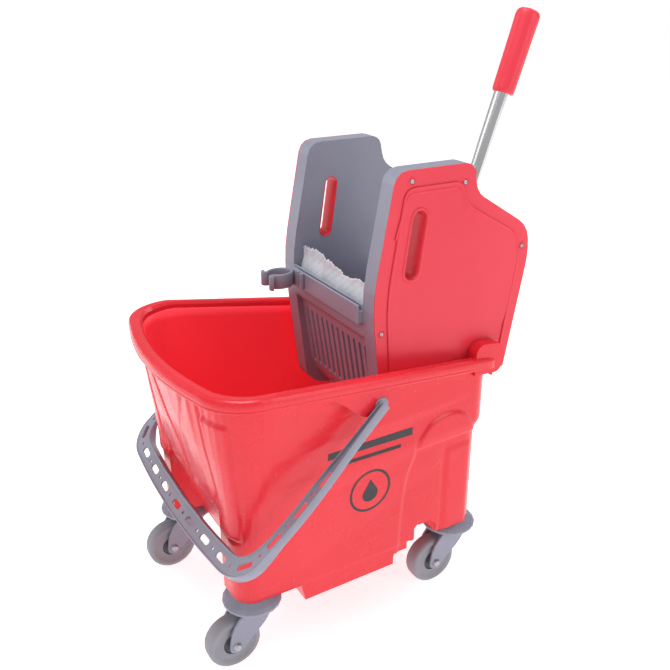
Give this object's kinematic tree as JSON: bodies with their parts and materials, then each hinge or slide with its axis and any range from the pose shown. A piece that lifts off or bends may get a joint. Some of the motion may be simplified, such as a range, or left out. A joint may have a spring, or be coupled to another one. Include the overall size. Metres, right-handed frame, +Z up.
{
  "type": "mop bucket with wringer",
  "caption": "Wheeled plastic mop bucket on swivel castors with a carrying bail, a lift-off side-press wringer with a geared lever, a slotted strainer and a mop clip.",
  "frame": {"origin": "on the floor, under the middle of the whole object's box", "axes": "+Z up, +X towards the lever side, -Y towards the front, where the bail hangs"},
  "size_m": [0.4118, 0.5091, 0.826],
  "materials": {
    "red_plastic": "glossy red polypropylene",
    "red_cover": "glossy red polypropylene, finely textured",
    "red_grip": "satin red moulded grip",
    "grey_plastic": "satin bluish grey polypropylene",
    "dark_plastic": "dark grey acetal",
    "tyre_grey": "grey non-marking rubber",
    "chrome": "chromed steel tube",
    "steel": "zinc plated steel",
    "white_film": "white plastic film"
  },
  "bodies": {
    "bucket": {"bucket_tub": "red_plastic", "bail_pivot_left": "grey_plastic", "bail_pivot_right": "grey_plastic", "frame_left": "grey_plastic", "frame_right": "grey_plastic", "cover_left": "red_cover", "cover_right": "red_cover", "front_rail": "grey_plastic", "strainer": "grey_plastic", "mop_clip": "grey_plastic", "rear_beam": "grey_plastic", "liner_sheet": "white_film", "lever_pin": "steel", "return_spring": "steel", "shaft_bush_left": "dark_plastic", "shaft_bush_right": "dark_plastic", "cover_screw_left_1": "steel", "cover_screw_left_2": "steel", "cover_screw_left_3": "steel", "cover_screw_left_4": "steel", "cover_screw_right_1": "steel", "cover_screw_right_2": "steel", "cover_screw_right_3": "steel", "cover_screw_right_4": "steel", "castor_bumper_front_left": "grey_plastic", "castor_bearing_front_left": "steel", "castor_stem_front_left": "steel", "castor_bumper_front_right": "grey_plastic", "castor_bearing_front_right": "steel", "castor_stem_front_right": "steel", "castor_bumper_rear_left": "grey_plastic", "castor_bearing_rear_left": "steel", "castor_stem_rear_left": "steel", "castor_bumper_rear_right": "grey_plastic", "castor_bearing_rear_right": "steel", "castor_stem_rear_right": "steel"},
    "bail": {"bail_handle": "grey_plastic"},
    "lever": {"lever_tube": "chrome", "lever_grip": "red_grip", "lever_gear": "dark_plastic"},
    "press": {"press_plate": "grey_plastic", "press_shaft": "steel", "plate_gear": "dark_plastic"},
    "swivel_front_left": {"castor_fork_front_left": "grey_plastic", "castor_axle_front_left": "steel"},
    "wheel_front_left": {"castor_tyre_front_left": "tyre_grey", "castor_hub_front_left": "dark_plastic"},
    "swivel_front_right": {"castor_fork_front_right": "grey_plastic", "castor_axle_front_right": "steel"},
    "wheel_front_right": {"castor_tyre_front_right": "tyre_grey", "castor_hub_front_right": "dark_plastic"},
    "swivel_rear_left": {"castor_fork_rear_left": "grey_plastic", "castor_axle_rear_left": "steel"},
    "wheel_rear_left": {"castor_tyre_rear_left": "tyre_grey", "castor_hub_rear_left": "dark_plastic"},
    "swivel_rear_right": {"castor_fork_rear_right": "grey_plastic", "castor_axle_rear_right": "steel"},
    "wheel_rear_right": {"castor_tyre_rear_right": "tyre_grey", "castor_hub_rear_right": "dark_plastic"}
  },
  "joints": [
    {"name": "bail_swing", "type": "hinge", "parent": "bucket", "child": "bail", "pos_m": [0, -0.007, 0.362], "axis": [-1, 0, 0], "range_deg": [0, 127]},
    {"name": "lever_swing", "type": "hinge", "parent": "bucket", "child": "lever", "pos_m": [0.1115, 0.09489, 0.41933], "axis": [-1, 0, 0], "range_deg": [0, 65], "stiffness_Nm_per_rad": 0.8, "springref_deg": -45.84},
    {"name": "press_swing", "type": "hinge", "parent": "bucket", "child": "press", "pos_m": [0, 0.091, 0.318], "axis": [1, 0, 0], "range_deg": [0, 50.3]},
    {"name": "swivel_front_left", "type": "hinge", "parent": "bucket", "child": "swivel_front_left", "pos_m": [-0.1215, -0.177, 0.085], "axis": [0, 0, 1], "continuous": true},
    {"name": "roll_front_left", "type": "hinge", "parent": "swivel_front_left", "child": "wheel_front_left", "pos_m": [-0.1215, -0.2085, 0.0375], "axis": [1, 0, 0], "continuous": true},
    {"name": "swivel_front_right", "type": "hinge", "parent": "bucket", "child": "swivel_front_right", "pos_m": [0.1215, -0.177, 0.085], "axis": [0, 0, 1], "continuous": true},
    {"name": "roll_front_right", "type": "hinge", "parent": "swivel_front_right", "child": "wheel_front_right", "pos_m": [0.1215, -0.2085, 0.0375], "axis": [1, 0, 0], "continuous": true},
    {"name": "swivel_rear_left", "type": "hinge", "parent": "bucket", "child": "swivel_rear_left", "pos_m": [-0.1104, 0.1564, 0.085], "axis": [0, 0, 1], "continuous": true},
    {"name": "roll_rear_left", "type": "hinge", "parent": "swivel_rear_left", "child": "wheel_rear_left", "pos_m": [-0.1104, 0.1249, 0.0375], "axis": [1, 0, 0], "continuous": true},
    {"name": "swivel_rear_right", "type": "hinge", "parent": "bucket", "child": "swivel_rear_right", "pos_m": [0.1104, 0.1564, 0.085], "axis": [0, 0, 1], "continuous": true},
    {"name": "roll_rear_right", "type": "hinge", "parent": "swivel_rear_right", "child": "wheel_rear_right", "pos_m": [0.1104, 0.1249, 0.0375], "axis": [1, 0, 0], "continuous": true}
  ],
  "couplings": [
    {"joint": "press_swing", "follows": "lever_swing", "ratio": 0.77273}
  ]
}
